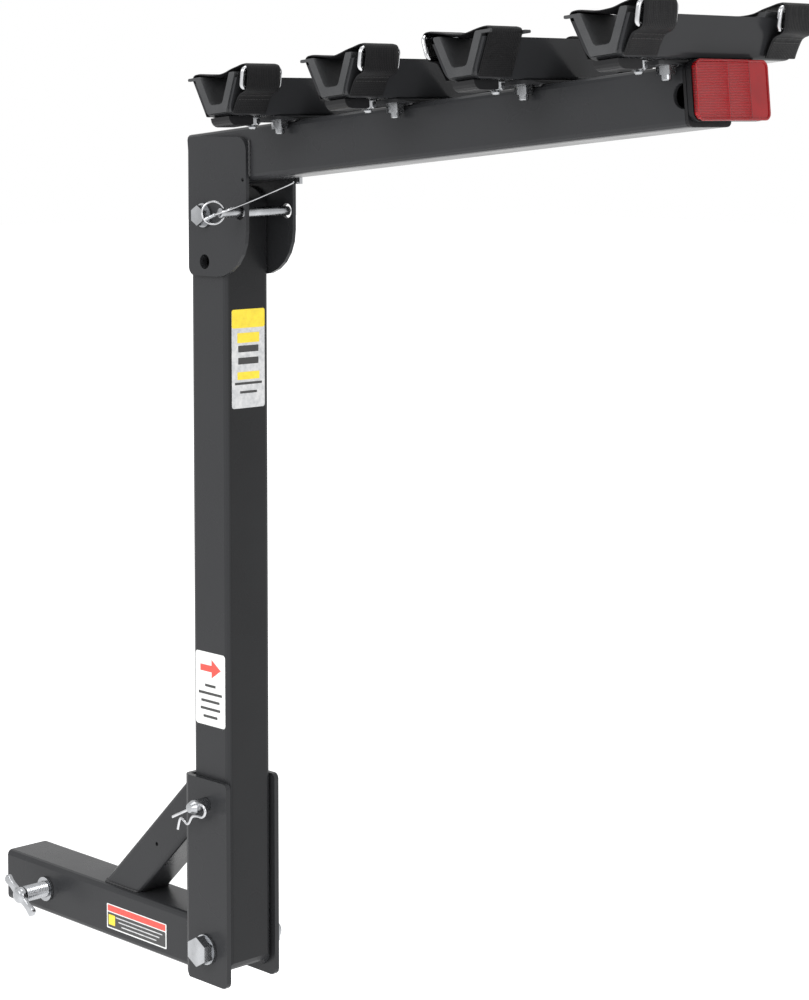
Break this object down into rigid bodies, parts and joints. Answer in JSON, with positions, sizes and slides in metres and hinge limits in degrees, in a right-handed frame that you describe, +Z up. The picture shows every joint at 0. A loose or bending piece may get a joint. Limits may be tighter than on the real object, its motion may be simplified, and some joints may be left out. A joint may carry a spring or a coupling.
{
  "type": "hitch mounted bike rack",
  "caption": "Receiver shank with a tilting post and a folding arm that carries padded, strapped cradles for bicycle frames.",
  "frame": {"origin": "centre of the hitch bolt hole in the shank", "axes": "+X away from the vehicle, +Z up, -Y towards the side with the wing bolt and the pin ring"},
  "size_m": [0.9054, 0.209, 0.8833],
  "materials": {
    "black_paint": "gloss black powder coat",
    "zinc_plate": "bright zinc plate",
    "bright_wire": "bright plated wire",
    "grey_rubber": "moulded matt rubber",
    "black_webbing": "woven webbing",
    "black_plastic": "moulded",
    "red_lens": "moulded prisms"
  },
  "bodies": {
    "base": {"shank_tube": "black_paint", "brace_tube": "black_paint", "yoke_channel": "black_paint", "pivot_bolt": "zinc_plate", "pivot_nut": "zinc_plate", "hitch_washer": "zinc_plate", "hitch_nut": "zinc_plate"},
    "hitch_screw": {"hitch_bolt": "zinc_plate", "wing_nut": "zinc_plate"},
    "tilt_pin_body": {"tilt_pin": "zinc_plate"},
    "clip": {"r_clip": "bright_wire"},
    "post": {"post_tube": "black_paint", "arm_bolt": "zinc_plate", "arm_nut": "zinc_plate"},
    "arm": {"ear_near": "black_paint", "ear_far": "black_paint", "arm_beam": "black_paint", "crossbar_1": "black_paint", "crossbar_2": "black_paint", "crossbar_3": "black_paint", "crossbar_4": "black_paint", "lanyard_clip": "zinc_plate", "crossbar_bolt_1": "zinc_plate", "crossbar_bolt_2": "zinc_plate", "crossbar_bolt_3": "zinc_plate", "crossbar_bolt_4": "zinc_plate", "strap_ring_1_near": "bright_wire", "strap_ring_1_far": "bright_wire", "strap_ring_2_near": "bright_wire", "strap_ring_2_far": "bright_wire", "strap_ring_3_near": "bright_wire", "strap_ring_3_far": "bright_wire", "strap_ring_4_near": "bright_wire", "strap_ring_4_far": "bright_wire", "pad_1_near": "grey_rubber", "pad_1_far": "grey_rubber", "pad_2_near": "grey_rubber", "pad_2_far": "grey_rubber", "pad_3_near": "grey_rubber", "pad_3_far": "grey_rubber", "pad_4_near": "grey_rubber", "pad_4_far": "grey_rubber", "strap_1_near": "black_webbing", "strap_1_far": "black_webbing", "strap_2_near": "black_webbing", "strap_2_far": "black_webbing", "strap_3_near": "black_webbing", "strap_3_far": "black_webbing", "strap_4_near": "black_webbing", "strap_4_far": "black_webbing", "end_cap": "black_plastic", "reflector_base": "black_plastic", "foot_block_1": "black_plastic", "foot_block_2": "black_plastic", "foot_block_3": "black_plastic", "foot_block_4": "black_plastic", "reflector_lens": "red_lens"},
    "lock_pin_body": {"lock_pin": "zinc_plate", "pin_ring": "bright_wire", "lanyard_wire": "bright_wire"}
  },
  "joints": [
    {"name": "post_tilt", "type": "hinge", "parent": "base", "child": "post", "pos_m": [0.258, 0, 0.002], "axis": [0, 1, 0], "range_deg": [0, 60]},
    {"name": "arm_fold", "type": "hinge", "parent": "post", "child": "arm", "pos_m": [0.258, 0, 0.679], "axis": [0, 1, 0], "range_deg": [0, 92]},
    {"name": "lock_pin_pull", "type": "slide", "parent": "arm", "child": "lock_pin_body", "axis": [0, -1, 0], "range_m": [0, 0.098]},
    {"name": "tilt_pin_pull", "type": "slide", "parent": "base", "child": "tilt_pin_body", "axis": [0, 1, 0], "range_m": [0, 0.095]},
    {"name": "clip_pull", "type": "slide", "parent": "base", "child": "clip", "axis": [0.8988, 0, 0.4384], "range_m": [0, 0.078]},
    {"name": "wing_turn", "type": "hinge", "parent": "base", "child": "hitch_screw", "pos_m": [0, -0.05, 0], "axis": [0, -1, 0], "range_deg": [0, 1440]}
  ],
  "couplings": [
    {"joint": "lock_pin_pull", "follows": "arm_fold", "m_per_rad": 0.058},
    {"joint": "clip_pull", "follows": "tilt_pin_pull", "ratio": 0.8}
  ]
}
